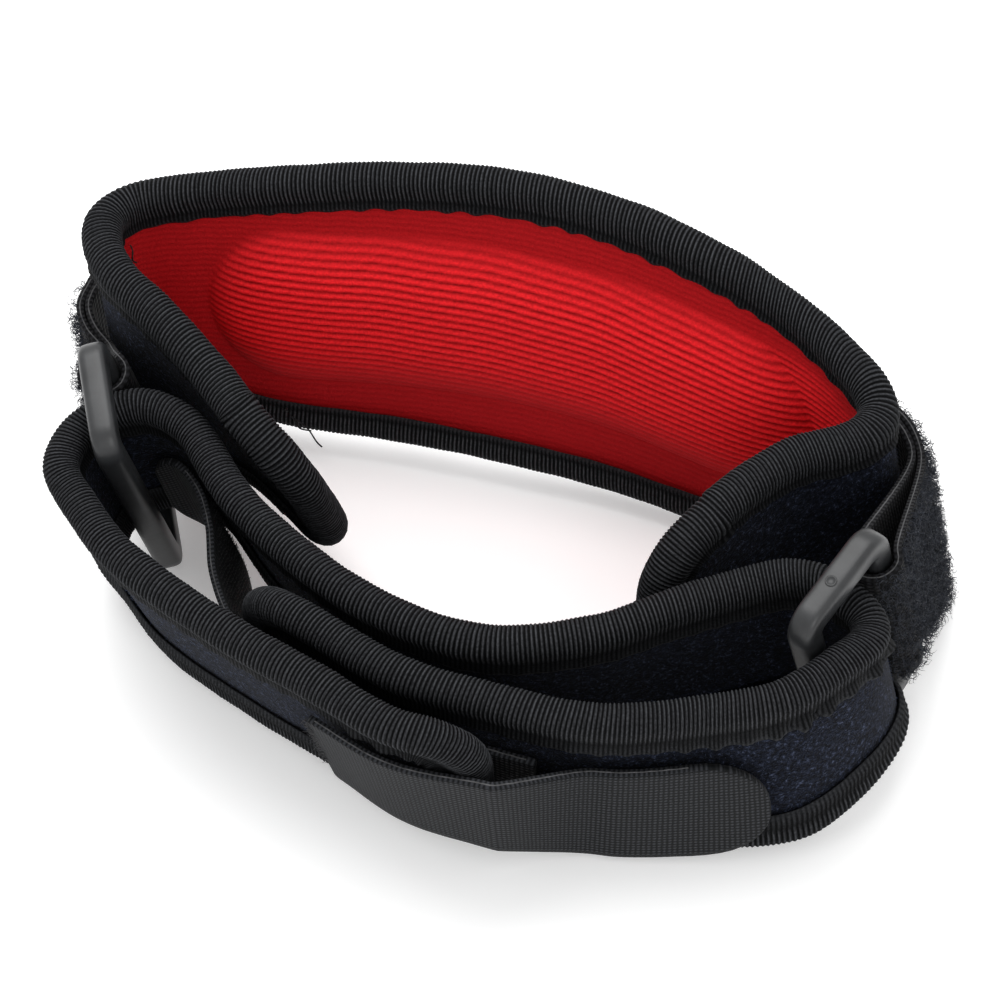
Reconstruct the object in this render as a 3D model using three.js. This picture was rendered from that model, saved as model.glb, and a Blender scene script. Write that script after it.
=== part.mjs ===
// A tennis elbow strap that lies on its lower edges, fastened round an empty forearm hollow.
//
// A padded back piece carries a plastic ring near each end. One long bound strap runs through both
// rings, folds back on itself at each of them, and its two ends close with hook tabs at the front.
//
// Millimetres, +Z up, the front with the hook tabs towards -Y. The origin is on the floor, under the
// middle of the object.
import * as THREE from 'three';
import * as BufferGeometryUtils from 'three/addons/utils/BufferGeometryUtils.js';

// The loop in plan, measured to the bottom edges of its bands
const loopWidth = 150;
const loopDepth = 108;

// The front strap and its binding
const strapWidth = 38;
const strapThickness = 3;
const strapCornerRadius = 12;
const bindingWall = 1.2;
const bindingDepth = 9;
const bindingPinch = 0.6;
const stitchShare = 0.72;
const rollCrown = { into: 0.08, off: 0.6 };

// The back piece: an outer shell, a lining and a raised pad on it
const backWidth = 60;
const backCornerRadius = 15;
const backLowerDepth = 6.5;
const backUpperDepth = 7.4;
const shellThickness = 2.2;
const liningThickness = 1.2;
const padLength = 110;
const padWidth = 31;
const padHeight = 4.6;
const padRim = 0.2;
const padEndPower = 2.6;
const padCrownPower = 2.5;

// The hook tabs at the ends of the strap
const tabWidth = 25;
const tabThickness = 1.2;
const leftTabCorner = 12.2;
const rightTabCorner = 7;
const leftTabDrop = 1.8;
const rightTabDrop = 4.6;

// The rings and the tapes that hold them
const ringSpan = 22.5;
const ringBar = 4.5;
const ringThickness = 4.6;
const ringCornerRadius = 5;
const ringInnerRadius = 0.5;
const ringBevel = 1.1;
const ringPlay = 1.4;
const ringTilt = 0.12;
const ringCrossing = 0.44;
const leftRingHeading = -81;
const rightRingHeading = -130;
const tapeThickness = 1.2;
const leftTapeWidth = 30;
const leftTapeDrop = 9.5;
const rightTapeWidth = 34;
const rightTapeDrop = 7;
const cutRadius = 1;

// The air between two pieces that touch on the real object, and how many of them the flat facets
// under the pad need
const clearance = 0.3;
const padClearances = 1.6;

// Sizes that follow from the ones above
const strapCavity = strapThickness + 2 * clearance;
const strapBound = strapCavity + 2 * bindingWall;
const layerPitch = strapBound + tabThickness + 2 * clearance;
const stackThickness = shellThickness + clearance + liningThickness;
const backCavity = stackThickness + 3 * clearance;
const backBound = backCavity + 2 * bindingWall;
const ringOpening = strapWidth + 2 * ringPlay;
const ringHeight = ringOpening + 2 * ringBar;
const ringLift = ringBar + ringSpan * ringTilt;

// How fine the faceted solids are
const stationStep = 5.4;
const foldStep = 2.7;
const sharpTurn = 0.2;
const cornerSteps = 4;
const samplesPerRow = 24;
const mergeDistance = 1e-4;
const padEndShare = 0.985;
const padAcross = [-1, -0.86, -0.6, -0.2, 0.2, 0.6, 0.86, 1];
const tapeTurns = [-2.1, -1.5, -1, -0.5, 0, 0.5, 1, 1.5, 2.1];

// The strap from its left end to its right end, a row for each bend. x and y place the bottom edge,
// as shares of half the loop. lane moves it outwards, in layers of strap. leanX and leanY say which
// way the band leans, as shares of its width, and lift is how high it stands, in shares of ringLift.
const strapRows = [
  { at: 'left end', x: 0, y: -0.58, lane: 2, leanX: -0.05, leanY: -0.23, lift: 0.6 },
  { x: -0.11, y: -0.49, lane: 2, leanX: -0.09, leanY: -0.27, lift: 0.55 },
  { x: -0.19, y: -0.37, lane: 2, leanX: -0.14, leanY: -0.27, lift: 0.55 },
  { x: -0.36, y: -0.31, lane: 1.5, leanX: -0.17, leanY: -0.26, lift: 0.6 },
  { x: -0.61, y: -0.15, lane: 1, leanX: -0.20, leanY: -0.22, lift: 0.7 },
  { x: -0.76, y: 0.02, lane: 0.5, leanX: -0.18, leanY: -0.25, lift: 0.85 },
  { x: -0.885, y: 0.16, lane: 0, leanX: -0.12, leanY: -0.29, lift: 1 },
  { x: -0.88, y: 0.27, lane: 0, leanX: -0.12, leanY: -0.29, lift: 1 },
  { at: 'left fold', x: -0.845, y: 0.36, lane: 0, leanX: -0.12, leanY: -0.29, lift: 1 },
  { at: 'left ring', x: -0.80, y: 0.41, lane: 0, leanX: -0.12, leanY: -0.29, lift: 1 },
  { x: -0.72, y: 0.425, lane: 0, leanX: -0.12, leanY: -0.28, lift: 1 },
  { at: 'inner left', x: -0.62, y: 0.36, lane: 0, leanX: -0.14, leanY: -0.28, lift: 0.9 },
  { at: 'inner bend', x: -0.48, y: 0.08, lane: 0, leanX: -0.19, leanY: -0.25, lift: 0.65 },
  { x: -0.37, y: -0.12, lane: 0, leanX: -0.17, leanY: -0.22, lift: 0.4 },
  { x: -0.225, y: -0.34, lane: 0, leanX: -0.09, leanY: -0.20, lift: 0.2 },
  { at: 'inner middle', x: -0.035, y: -0.485, lane: 0, leanX: -0.01, leanY: -0.18, lift: 0.1 },
  { x: 0.20, y: -0.485, lane: 0, leanX: 0, leanY: -0.14, lift: 0.15 },
  { x: 0.36, y: -0.44, lane: 0, leanX: -0.02, leanY: -0.10, lift: 0.3 },
  { x: 0.52, y: -0.395, lane: 0, leanX: -0.08, leanY: -0.09, lift: 0.5 },
  { x: 0.66, y: -0.37, lane: 0, leanX: -0.15, leanY: -0.11, lift: 0.85 },
  { x: 0.76, y: -0.365, lane: 0, leanX: -0.20, leanY: -0.16, lift: 1 },
  { at: 'right ring', x: 0.82, y: -0.395, lane: 0, leanX: -0.22, leanY: -0.20, lift: 1 },
  { at: 'right fold', x: 0.857, y: -0.46, lane: 0, leanX: -0.22, leanY: -0.22, lift: 1 },
  { x: 0.845, y: -0.56, lane: 0, leanX: -0.20, leanY: -0.18, lift: 1 },
  { x: 0.735, y: -0.66, lane: 0.5, leanX: -0.18, leanY: -0.08, lift: 0.85 },
  { at: 'outer right', x: 0.56, y: -0.74, lane: 1, leanX: -0.13, leanY: 0, lift: 0.4 },
  { x: 0.365, y: -0.72, lane: 1, leanX: -0.05, leanY: -0.06, lift: 0.15 },
  { at: 'outer middle', x: 0.155, y: -0.675, lane: 1, leanX: 0, leanY: -0.11, lift: 0 },
  { x: -0.02, y: -0.54, lane: 1, leanX: -0.04, leanY: -0.17, lift: 0 },
  { x: -0.13, y: -0.43, lane: 1, leanX: -0.10, leanY: -0.22, lift: 0.1 },
  { x: -0.255, y: -0.28, lane: 1, leanX: -0.14, leanY: -0.24, lift: 0.2 },
  { at: 'right end', x: -0.40, y: -0.185, lane: 0.8, leanX: -0.17, leanY: -0.24, lift: 0.3 },
];

// The back piece from the tip of its left flap to the tip of its right flap, in the same columns,
// with width as a share of backWidth
const backRows = [
  { at: 'left tip', x: -0.42, y: 0.16, lane: -1, leanX: -0.22, leanY: -0.27, lift: 1.1, width: 0.64 },
  { x: -0.52, y: 0.33, lane: -1, leanX: -0.22, leanY: -0.27, lift: 1.45, width: 0.67 },
  { x: -0.58, y: 0.50, lane: -0.6, leanX: -0.21, leanY: -0.23, lift: 1.3, width: 0.70 },
  { x: -0.69, y: 0.62, lane: -0.3, leanX: -0.17, leanY: -0.13, lift: 1.1, width: 0.74 },
  { at: 'left root', x: -0.80, y: 0.69, lane: 0, leanX: -0.10, leanY: -0.03, lift: 0.85, width: 0.77 },
  { at: 'left corner', x: -0.87, y: 0.77, lane: 0, leanX: -0.05, leanY: 0.05, lift: 0.7, width: 0.78 },
  { x: -0.88, y: 0.86, lane: 0, leanX: -0.03, leanY: 0.07, lift: 0.65, width: 0.79 },
  { x: -0.83, y: 0.92, lane: 0, leanX: -0.02, leanY: 0.09, lift: 0.6, width: 0.80 },
  { at: 'left back', x: -0.69, y: 0.90, lane: 0, leanX: 0, leanY: 0.12, lift: 0.6, width: 0.84 },
  { x: -0.48, y: 0.81, lane: 0, leanX: 0, leanY: 0.17, lift: 0.6, width: 0.90 },
  { x: -0.23, y: 0.74, lane: 0, leanX: 0, leanY: 0.19, lift: 0.6, width: 0.95 },
  { at: 'middle', x: 0.04, y: 0.64, lane: 0, leanX: 0, leanY: 0.20, lift: 0.55, width: 0.99 },
  { x: 0.28, y: 0.54, lane: 0, leanX: 0, leanY: 0.20, lift: 0.4, width: 0.98 },
  { x: 0.51, y: 0.41, lane: 0, leanX: 0, leanY: 0.18, lift: 0.25, width: 0.94 },
  { at: 'right back', x: 0.73, y: 0.36, lane: 0, leanX: -0.10, leanY: 0.12, lift: 0.1, width: 0.87 },
  { x: 0.85, y: 0.30, lane: 0, leanX: -0.16, leanY: 0.08, lift: 0, width: 0.83 },
  { at: 'right corner', x: 0.93, y: 0.215, lane: 0, leanX: -0.20, leanY: 0.05, lift: 0, width: 0.80 },
  { x: 0.945, y: 0.135, lane: 0, leanX: -0.21, leanY: 0.06, lift: 0, width: 0.77 },
  { at: 'right root', x: 0.91, y: 0.06, lane: 0, leanX: -0.20, leanY: 0.07, lift: 0.15, width: 0.75 },
  { x: 0.825, y: 0.01, lane: 0, leanX: -0.16, leanY: 0.07, lift: 0.35, width: 0.72 },
  { x: 0.71, y: -0.04, lane: -0.3, leanX: -0.10, leanY: 0.04, lift: 0.6, width: 0.70 },
  { x: 0.61, y: -0.13, lane: -0.6, leanX: -0.05, leanY: 0, lift: 0.7, width: 0.68 },
  { x: 0.51, y: -0.29, lane: -1, leanX: 0, leanY: -0.03, lift: 0.7, width: 0.66 },
  { at: 'right tip', x: 0.38, y: -0.46, lane: -1, leanX: 0, leanY: -0.03, lift: 0.7, width: 0.64 },
];

// The free length of the right hook tab, a row for each bend: how far it has gone from the strap's
// right end towards the left ring, as a share of that stretch of the inner strap, and how far it
// stands off the inner strap, in layers.
const freeTabRows = [
  { along: 0.30, off: 1.30 },
  { along: 0.52, off: 0.74 },
  { along: 0.74, off: 0.55 },
  { along: 1, off: 0.55 },
  { along: 1.24, off: 0.60 },
];

// Where the tabs and the sewn ends of the tapes start and stop: a row of the band's table, and how
// many rows past it
const leftTabRoot = { row: 'left end', past: 2 };
const leftTabLanding = { row: 'outer middle', past: 0 };
const leftTabEnd = { row: 'outer right', past: 0.3 };
const rightTabRoot = { row: 'outer middle', past: 0.4 };
const rightTabLeaving = { row: 'right end', past: 0 };
const freeTabStart = { row: 'inner bend', past: 1 };
const freeTabStop = { row: 'inner left', past: -0.2 };
const leftTapeSeam = { row: 'left back', past: -1.8 };
const leftTapeLeaving = { row: 'left root', past: 0.2 };
const rightTapeSeam = { row: 'right back', past: 0.5 };
const rightTapeLeaving = { row: 'right corner', past: 0.9 };

// A band's place at one row of a table
function bandNode(row, width) {
  const place = new THREE.Vector3((row.x * loopWidth) / 2, (row.y * loopDepth) / 2, 0);
  const outwards = place.clone().normalize();
  const upright = Math.sqrt(1 - row.leanX ** 2 - row.leanY ** 2);
  const up = new THREE.Vector3(row.leanX, row.leanY, upright);
  const mid = place.addScaledVector(outwards, row.lane * layerPitch);
  mid.z = row.lift * ringLift;
  mid.addScaledVector(up, width / 2);
  return { mid, up, width, at: row.at };
}

// A band that follows its nodes. point(s, a, h) is s along its middle line, a across it towards the
// top edge and h off its middle face.
function makeBand(nodes) {
  const middle = new THREE.CatmullRomCurve3(nodes.map((node) => node.mid), false, 'centripetal');
  const leans = new THREE.CatmullRomCurve3(nodes.map((node) => node.up), false, 'centripetal');
  const widths = nodes.map((node) => new THREE.Vector3(node.width, 0, 0));
  const widthCurve = new THREE.CatmullRomCurve3(widths, false, 'catmullrom');
  const samples = samplesPerRow * (nodes.length - 1);
  const lengths = [0];
  let last = middle.getPoint(0);
  for (let i = 1; i <= samples; i += 1) {
    const next = middle.getPoint(i / samples);
    lengths.push(lengths[i - 1] + next.distanceTo(last));
    last = next;
  }
  const length = lengths[samples];

  function share(s) {
    if (s <= 0) return 0;
    if (s >= length) return 1;
    let i = 1;
    while (lengths[i] < s) i += 1;
    return (i - 1 + (s - lengths[i - 1]) / (lengths[i] - lengths[i - 1])) / samples;
  }

  function frame(s) {
    const t = share(s);
    const step = 0.5 / samples;
    const before = middle.getPoint(Math.max(t - step, 0));
    const after = middle.getPoint(Math.min(t + step, 1));
    const along = after.sub(before).normalize();
    const up = leans.getPoint(t).normalize();
    const off = new THREE.Vector3().crossVectors(along, up).normalize();
    return { origin: middle.getPoint(t), along, up, off };
  }

  function point(s, a, h) {
    const { origin, up, off } = frame(s);
    return origin.addScaledVector(up, a).addScaledVector(off, h);
  }

  function station({ row, past = 0 }) {
    const rows = nodes.findIndex((node) => node.at === row) + past;
    return lengths[Math.round(rows * samplesPerRow)];
  }

  const halfWidth = (s) => widthCurve.getPoint(share(s)).x / 2;

  // Every piece on the band is cut at these same places, closer together where the band bends
  const stops = [0];
  while (stops[stops.length - 1] < length) {
    const here = stops[stops.length - 1];
    const turn = frame(Math.min(here + stationStep, length)).along.angleTo(frame(here).along);
    stops.push(here + (turn > sharpTurn ? foldStep : stationStep));
  }
  return { length, frame, point, station, halfWidth, stops };
}

// The places of a band between two ends, and the ends
function placesBetween(band, from, to) {
  const room = foldStep / 3;
  return [from, ...band.stops.filter((s) => s > from + room && s < to - room), to];
}

// The same, with the places of a round corner at each end
function placesWithCorners(band, from, to, startRadius, endRadius) {
  const corner = (end, radius) => Array.from({ length: cornerSteps }, (_, k) => (
    end + radius * (1 - Math.cos((k / cornerSteps) * (Math.PI / 2)))));
  return [
    ...corner(from, startRadius),
    ...placesBetween(band, from + startRadius, to - endRadius),
    ...corner(to, -endRadius).reverse(),
  ];
}

// A closed surface over rings of points, joined in order, with its faces pointing out. The two faces
// of a sheet are split along the same diagonals, so that sheets on each other stay apart.
function skin(rings, isLoop) {
  const size = rings[0].length;
  const positions = rings.flat().flatMap((p) => [p.x, p.y, p.z]);
  const faces = [];
  const spans = isLoop ? rings.length : rings.length - 1;
  for (let i = 0; i < spans; i += 1) {
    const here = i * size;
    const next = ((i + 1) % rings.length) * size;
    for (let k = 0; k < size; k += 1) {
      const m = (k + 1) % size;
      if (k < size / 2) {
        faces.push([here + k, here + m, next + k], [here + m, next + m, next + k]);
      } else {
        faces.push([here + k, here + m, next + m], [here + k, next + m, next + k]);
      }
    }
  }
  if (!isLoop) {
    const end = (rings.length - 1) * size;
    for (let k = 1; k < size - 1; k += 1) {
      faces.push([0, k + 1, k], [end, end + k, end + k + 1]);
    }
  }
  const corner = (index) => new THREE.Vector3().fromArray(positions, index * 3);
  const volume = faces.reduce((sum, [a, b, c]) => (
    sum + corner(a).dot(corner(b).cross(corner(c)))), 0);
  const turned = volume < 0 ? faces.map(([a, b, c]) => [a, c, b]) : faces;
  const geometry = new THREE.BufferGeometry();
  geometry.setAttribute('position', new THREE.Float32BufferAttribute(positions, 3));
  geometry.setIndex(turned.flat());
  geometry.computeVertexNormals();
  return geometry;
}

// A sheet on a band between two faces, from one place along it to another, with corners of the
// given radius at each end where one is given
function sheet(band, { from, to, low, high, bottom, top, startRadius, endRadius }) {
  const inset = (distance, radius) => {
    if (distance >= radius) return 0;
    return radius - Math.sqrt(radius ** 2 - (radius - distance) ** 2);
  };
  return skin(placesWithCorners(band, from, to, startRadius, endRadius).map((s) => {
    const cut = Math.max(inset(s - from, startRadius), inset(to - s, endRadius));
    const lower = bottom(s) + cut;
    const upper = top(s) - cut;
    return [
      band.point(s, lower, low), band.point(s, upper, low),
      band.point(s, upper, high), band.point(s, lower, high),
    ];
  }), false);
}

// The outline of a band laid flat: its two long edges with a rounded corner at each end of them.
// Each place has the direction that leads into the band.
function outline(band, radius) {
  const { length } = band;
  const flat = [];
  const corner = (s, a, start) => {
    for (let k = 1; k < cornerSteps; k += 1) {
      const angle = start + (k / cornerSteps) * (Math.PI / 2);
      flat.push({ s: s + radius * Math.cos(angle), a: a + radius * Math.sin(angle) });
    }
  };
  const run = placesBetween(band, radius, length - radius);
  const startWidth = band.halfWidth(0);
  const endWidth = band.halfWidth(length);
  run.forEach((s) => flat.push({ s, a: -band.halfWidth(s) }));
  corner(length - radius, -endWidth + radius, -Math.PI / 2);
  flat.push({ s: length, a: -endWidth + radius }, { s: length, a: 0 }, { s: length, a: endWidth - radius });
  corner(length - radius, endWidth - radius, 0);
  run.reverse().forEach((s) => flat.push({ s, a: band.halfWidth(s) }));
  corner(radius, startWidth - radius, Math.PI / 2);
  flat.push({ s: 0, a: startWidth - radius }, { s: 0, a: 0 }, { s: 0, a: -startWidth + radius });
  corner(radius, -startWidth + radius, Math.PI);
  return flat.map((here, i) => {
    const before = flat[(i + flat.length - 1) % flat.length];
    const after = flat[(i + 1) % flat.length];
    const reach = Math.hypot(after.s - before.s, after.a - before.a);
    return { ...here, intoS: -(after.a - before.a) / reach, intoA: (after.s - before.s) / reach };
  });
}

// A knit binding folded over the whole edge of a band: a round roll, pinched at its stitch line. Its
// depth goes from one value at the lower edge to another at the upper one.
function binding(band, radius, cavity, lowerDepth, upperDepth) {
  const outer = cavity / 2 + bindingWall;
  const inner = cavity / 2;
  const section = (depth) => {
    const half = [
      [depth, inner], [depth, outer - bindingPinch / 2], [depth * stitchShare, outer - bindingPinch],
      [outer, outer], [outer * rollCrown.into, outer * rollCrown.off],
    ];
    const roll = [...half, ...half.map(([into, h]) => [into, -h]).reverse()];
    return [...roll, [bindingWall, -inner], [bindingWall, inner]];
  };
  return skin(outline(band, radius).map(({ s, a, intoS, intoA }) => {
    const height = (a / band.halfWidth(s) + 1) / 2;
    const profile = section(THREE.MathUtils.lerp(lowerDepth, upperDepth, height));
    return profile.map(([into, h]) => band.point(s + into * intoS, a + into * intoA, h));
  }), true);
}

// The height of a round shape at x, from 1 at its middle to 0 at its edge. More power is squarer.
function roundness(x, power) {
  return (1 - Math.abs(x) ** power) ** (1 / power);
}

// The raised pad: an oval cushion on the lining, flat below and crowned above
function pad(band, floor) {
  const start = band.station({ row: 'middle' }) - padLength / 2;
  const places = placesWithCorners(band, start, start + padLength, padWidth / 2, padWidth / 2);
  const rings = places.map((s) => {
    const end = Math.min(Math.abs(((s - start) / padLength) * 2 - 1), padEndShare);
    const fullness = roundness(end, padEndPower);
    const half = (padWidth / 2) * fullness;
    const crown = padAcross.map((share) => {
      const bulge = roundness(share, padCrownPower) * Math.sqrt(fullness);
      return band.point(s, share * half, floor + padHeight * THREE.MathUtils.lerp(padRim, 1, bulge));
    });
    return [band.point(s, half, floor), band.point(s, -half, floor), ...crown];
  });
  return skin(rings, false);
}

// A moulded ring: a rectangle with round corners, standing in the XY plane round its centre
function ringGeometry() {
  const rounded = (Kind, width, height, radius) => {
    const path = new Kind();
    const x = width / 2;
    const y = height / 2;
    path.moveTo(-x + radius, -y);
    path.lineTo(x - radius, -y);
    path.absarc(x - radius, -y + radius, radius, -Math.PI / 2, 0, false);
    path.lineTo(x, y - radius);
    path.absarc(x - radius, y - radius, radius, 0, Math.PI / 2, false);
    path.lineTo(-x + radius, y);
    path.absarc(-x + radius, y - radius, radius, Math.PI / 2, Math.PI, false);
    path.lineTo(-x, -y + radius);
    path.absarc(-x + radius, -y + radius, radius, Math.PI, Math.PI * 1.5, false);
    return path;
  };
  const inset = 2 * ringBevel;
  const shape = rounded(THREE.Shape, ringSpan - inset, ringHeight - inset, ringCornerRadius - ringBevel);
  const openingWidth = ringSpan - 2 * ringBar + inset;
  const openingRadius = ringInnerRadius + ringBevel;
  shape.holes.push(rounded(THREE.Path, openingWidth, ringOpening + inset, openingRadius));
  const geometry = new THREE.ExtrudeGeometry(shape, {
    depth: ringThickness - inset,
    bevelThickness: ringBevel,
    bevelSize: ringBevel,
    bevelSegments: 1,
    curveSegments: cornerSteps,
  });
  geometry.translate(0, 0, -ringThickness / 2 + ringBevel);
  geometry.deleteAttribute('normal');
  geometry.deleteAttribute('uv');
  const merged = BufferGeometryUtils.mergeVertices(geometry, mergeDistance);
  merged.computeVertexNormals();
  return merged;
}

// Where a ring stands: the strap crosses its plane at the named row, its lower bar carries the strap,
// and heading is the direction in plan from the bar that the tape holds to the other one
function ringPlace(strap, row, heading) {
  const { origin, up } = strap.frame(strap.station({ row }));
  const angle = THREE.MathUtils.degToRad(heading);
  const across = new THREE.Vector3(Math.cos(angle), Math.sin(angle), 0);
  across.addScaledVector(up, -across.dot(up)).normalize();
  const centre = origin.clone().addScaledVector(across, ringSpan * (0.5 - ringCrossing));
  centre.addScaledVector(up, -strapWidth / 2 - clearance + ringOpening / 2);
  const held = centre.clone().addScaledVector(across, -(ringSpan - ringBar) / 2);
  return { centre, across, up, held };
}

// Nodes for a piece that lies on a band, h off its middle face, at the band's own places. The piece
// may run either way along the band, and hangs below the middle line by one drop or from one to another.
function nodesOn(band, { from, to, drop, endDrop = drop, h, width }) {
  const places = placesBetween(band, Math.min(from, to), Math.max(from, to));
  if (from > to) places.reverse();
  return places.map((s) => {
    const down = THREE.MathUtils.mapLinear(s, from, to, drop, endDrop);
    return { mid: band.point(s, -down, h), up: band.frame(s).up, width };
  });
}

// A tape that is sewn to the outside of the back piece, runs round the ring's held bar and comes
// back on top of itself
function tapeNodes(back, ring, { seam, leaving, drop, width }) {
  const layer = -(backBound / 2 + clearance + tapeThickness / 2);
  const outerLayer = layer - tapeThickness - clearance;
  const sewn = { from: back.station(seam), to: back.station(leaving), drop, width };
  const inside = nodesOn(back, { ...sewn, h: layer });
  const outside = nodesOn(back, { ...sewn, h: outerLayer }).reverse();
  const last = inside[inside.length - 1].mid;
  const flatten = (direction) => direction.addScaledVector(ring.up, -direction.dot(ring.up));
  const towards = flatten(last.clone().sub(ring.held)).normalize();
  const sideways = flatten(outside[0].mid.clone().sub(last));
  sideways.addScaledVector(towards, -sideways.dot(towards)).normalize();
  const radius = Math.hypot(ringBar, ringThickness) / 2 - ringBevel / 4 + clearance + tapeThickness / 2;
  const turns = tapeTurns.map((angle) => ({
    mid: ring.held.clone()
      .addScaledVector(towards, -Math.cos(angle) * radius)
      .addScaledVector(sideways, Math.sin(angle) * radius),
    up: ring.up,
    width,
  }));
  return [...inside, ...turns, ...outside];
}

// The whole object
const strapBand = makeBand(strapRows.map((row) => bandNode(row, strapWidth)));
const backBand = makeBand(backRows.map((row) => bandNode(row, row.width * backWidth)));
const strapOutside = -(strapBound / 2 + clearance + tabThickness / 2);
const edgeRoom = bindingWall + 3 * clearance;
const shellLow = -stackThickness / 2;
const liningLow = shellLow + shellThickness + clearance;
const padGap = padClearances * clearance;

function strapBody() {
  const half = strapWidth / 2 - edgeRoom;
  const radius = strapCornerRadius - edgeRoom;
  return sheet(strapBand, {
    from: edgeRoom,
    to: strapBand.length - edgeRoom,
    low: -strapThickness / 2,
    high: strapThickness / 2,
    bottom: () => -half,
    top: () => half,
    startRadius: radius,
    endRadius: radius,
  });
}

function backSheet(low, high) {
  const radius = backCornerRadius - edgeRoom;
  return sheet(backBand, {
    from: edgeRoom,
    to: backBand.length - edgeRoom,
    low,
    high,
    bottom: (s) => -backBand.halfWidth(s) + edgeRoom,
    top: (s) => backBand.halfWidth(s) - edgeRoom,
    startRadius: radius,
    endRadius: radius,
  });
}

// A plain sheet along its own nodes, with corners of one radius at its start and one at its end
function strip(nodes, thickness, startRadius, endRadius) {
  const band = makeBand(nodes);
  return sheet(band, {
    from: 0,
    to: band.length,
    low: -thickness / 2,
    high: thickness / 2,
    bottom: (s) => -band.halfWidth(s),
    top: band.halfWidth,
    startRadius,
    endRadius,
  });
}

// The left tab is fused to the strap's left end, runs on past it and lies on the outer strap
function leftTab() {
  const onLeftEnd = nodesOn(strapBand, {
    from: strapBand.station(leftTabRoot), to: 0, drop: leftTabDrop, h: strapOutside, width: tabWidth,
  });
  const onOuterStrap = nodesOn(strapBand, {
    from: strapBand.station(leftTabLanding),
    to: strapBand.station(leftTabEnd),
    drop: rightTabDrop,
    h: strapOutside,
    width: tabWidth,
  });
  const edge = onLeftEnd[onLeftEnd.length - 1];
  const beyond = edge.mid.clone().addScaledVector(strapBand.frame(0).along, -bindingWall);
  const nodes = [...onLeftEnd, { ...edge, mid: beyond }, ...onOuterStrap];
  return strip(nodes, tabThickness, cutRadius, leftTabCorner);
}

// The right tab is fused to the strap's right end, and its free length stands off the inner strap
function rightTab() {
  const fused = nodesOn(strapBand, {
    from: strapBand.station(rightTabRoot),
    to: strapBand.station(rightTabLeaving),
    drop: rightTabDrop,
    h: strapOutside,
    width: tabWidth,
  });
  const from = strapBand.station(freeTabStart);
  const to = strapBand.station(freeTabStop);
  const free = freeTabRows.map(({ along, off }) => {
    const s = THREE.MathUtils.lerp(from, to, along);
    const mid = strapBand.point(s, -rightTabDrop, off * layerPitch);
    return { mid, up: strapBand.frame(s).up, width: tabWidth };
  });
  return strip([...fused, ...free], tabThickness, cutRadius, rightTabCorner);
}

function tape(ring, sewn) {
  return strip(tapeNodes(backBand, ring, sewn), tapeThickness, cutRadius, cutRadius);
}

const leftRing = ringPlace(strapBand, 'left ring', leftRingHeading);
const rightRing = ringPlace(strapBand, 'right ring', rightRingHeading);
const leftSewn = {
  seam: leftTapeSeam, leaving: leftTapeLeaving, drop: leftTapeDrop, width: leftTapeWidth,
};
const rightSewn = {
  seam: rightTapeSeam, leaving: rightTapeLeaving, drop: rightTapeDrop, width: rightTapeWidth,
};

const knit = { color: 0x1d1f21, roughness: 0.85, metalness: 0 };
const fabric = { color: 0x131826, roughness: 0.95, metalness: 0 };
const red = { color: 0xb3121a, roughness: 0.8, metalness: 0 };
const hook = { color: 0x2e3033, roughness: 0.7, metalness: 0 };
const plastic = { color: 0x3a3c3e, roughness: 0.45, metalness: 0 };
const pile = { color: 0x16181d, roughness: 0.95, metalness: 0 };

const object = new THREE.Group();

function add(name, geometry, look) {
  const mesh = new THREE.Mesh(geometry, new THREE.MeshStandardMaterial(look));
  mesh.name = name;
  object.add(mesh);
  return mesh;
}

function addRing(name, { centre, across, up }) {
  const mesh = add(name, ringGeometry(), plastic);
  const through = new THREE.Vector3().crossVectors(across, up);
  mesh.quaternion.setFromRotationMatrix(new THREE.Matrix4().makeBasis(across, up, through));
  mesh.position.copy(centre);
}

add('pad_shell', backSheet(shellLow, shellLow + shellThickness), fabric);
add('red_lining', backSheet(liningLow, liningLow + liningThickness), red);
add('pressure_pad', pad(backBand, liningLow + liningThickness + padGap), red);
add('pad_binding', binding(backBand, backCornerRadius, backCavity, backLowerDepth, backUpperDepth), knit);
add('front_strap', strapBody(), fabric);
add('strap_binding', binding(strapBand, strapCornerRadius, strapCavity, bindingDepth, bindingDepth), knit);
add('left_hook_tab', leftTab(), hook);
add('right_hook_tab', rightTab(), hook);
addRing('left_ring', leftRing);
addRing('right_ring', rightRing);
add('left_keeper_tape', tape(leftRing, leftSewn), pile);
add('right_keeper_tape', tape(rightRing, rightSewn), pile);

// The floor is under the lowest point, and the origin under the middle of the object
object.updateMatrixWorld(true);
const box = new THREE.Box3().setFromObject(object, true);
const centre = box.getCenter(new THREE.Vector3());
object.position.set(-centre.x, -centre.y, -box.min.z);
object.updateMatrixWorld(true);

export default object;
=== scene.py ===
"""A tennis elbow strap that lies fastened on a white floor, dressed over its CAD frame."""
import math

import bpy
import numpy as np
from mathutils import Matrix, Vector


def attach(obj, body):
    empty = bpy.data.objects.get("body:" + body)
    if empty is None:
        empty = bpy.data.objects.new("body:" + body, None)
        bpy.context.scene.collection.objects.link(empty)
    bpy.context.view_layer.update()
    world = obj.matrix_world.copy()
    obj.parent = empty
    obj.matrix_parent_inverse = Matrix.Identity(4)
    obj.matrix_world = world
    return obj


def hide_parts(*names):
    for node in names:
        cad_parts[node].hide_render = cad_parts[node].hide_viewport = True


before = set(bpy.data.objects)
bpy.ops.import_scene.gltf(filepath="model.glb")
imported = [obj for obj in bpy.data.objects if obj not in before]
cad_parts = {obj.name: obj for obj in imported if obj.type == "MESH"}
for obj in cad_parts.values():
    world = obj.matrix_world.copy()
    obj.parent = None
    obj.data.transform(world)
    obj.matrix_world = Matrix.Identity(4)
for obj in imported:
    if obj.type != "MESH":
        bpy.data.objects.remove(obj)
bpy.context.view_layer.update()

MM = 0.001
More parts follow.
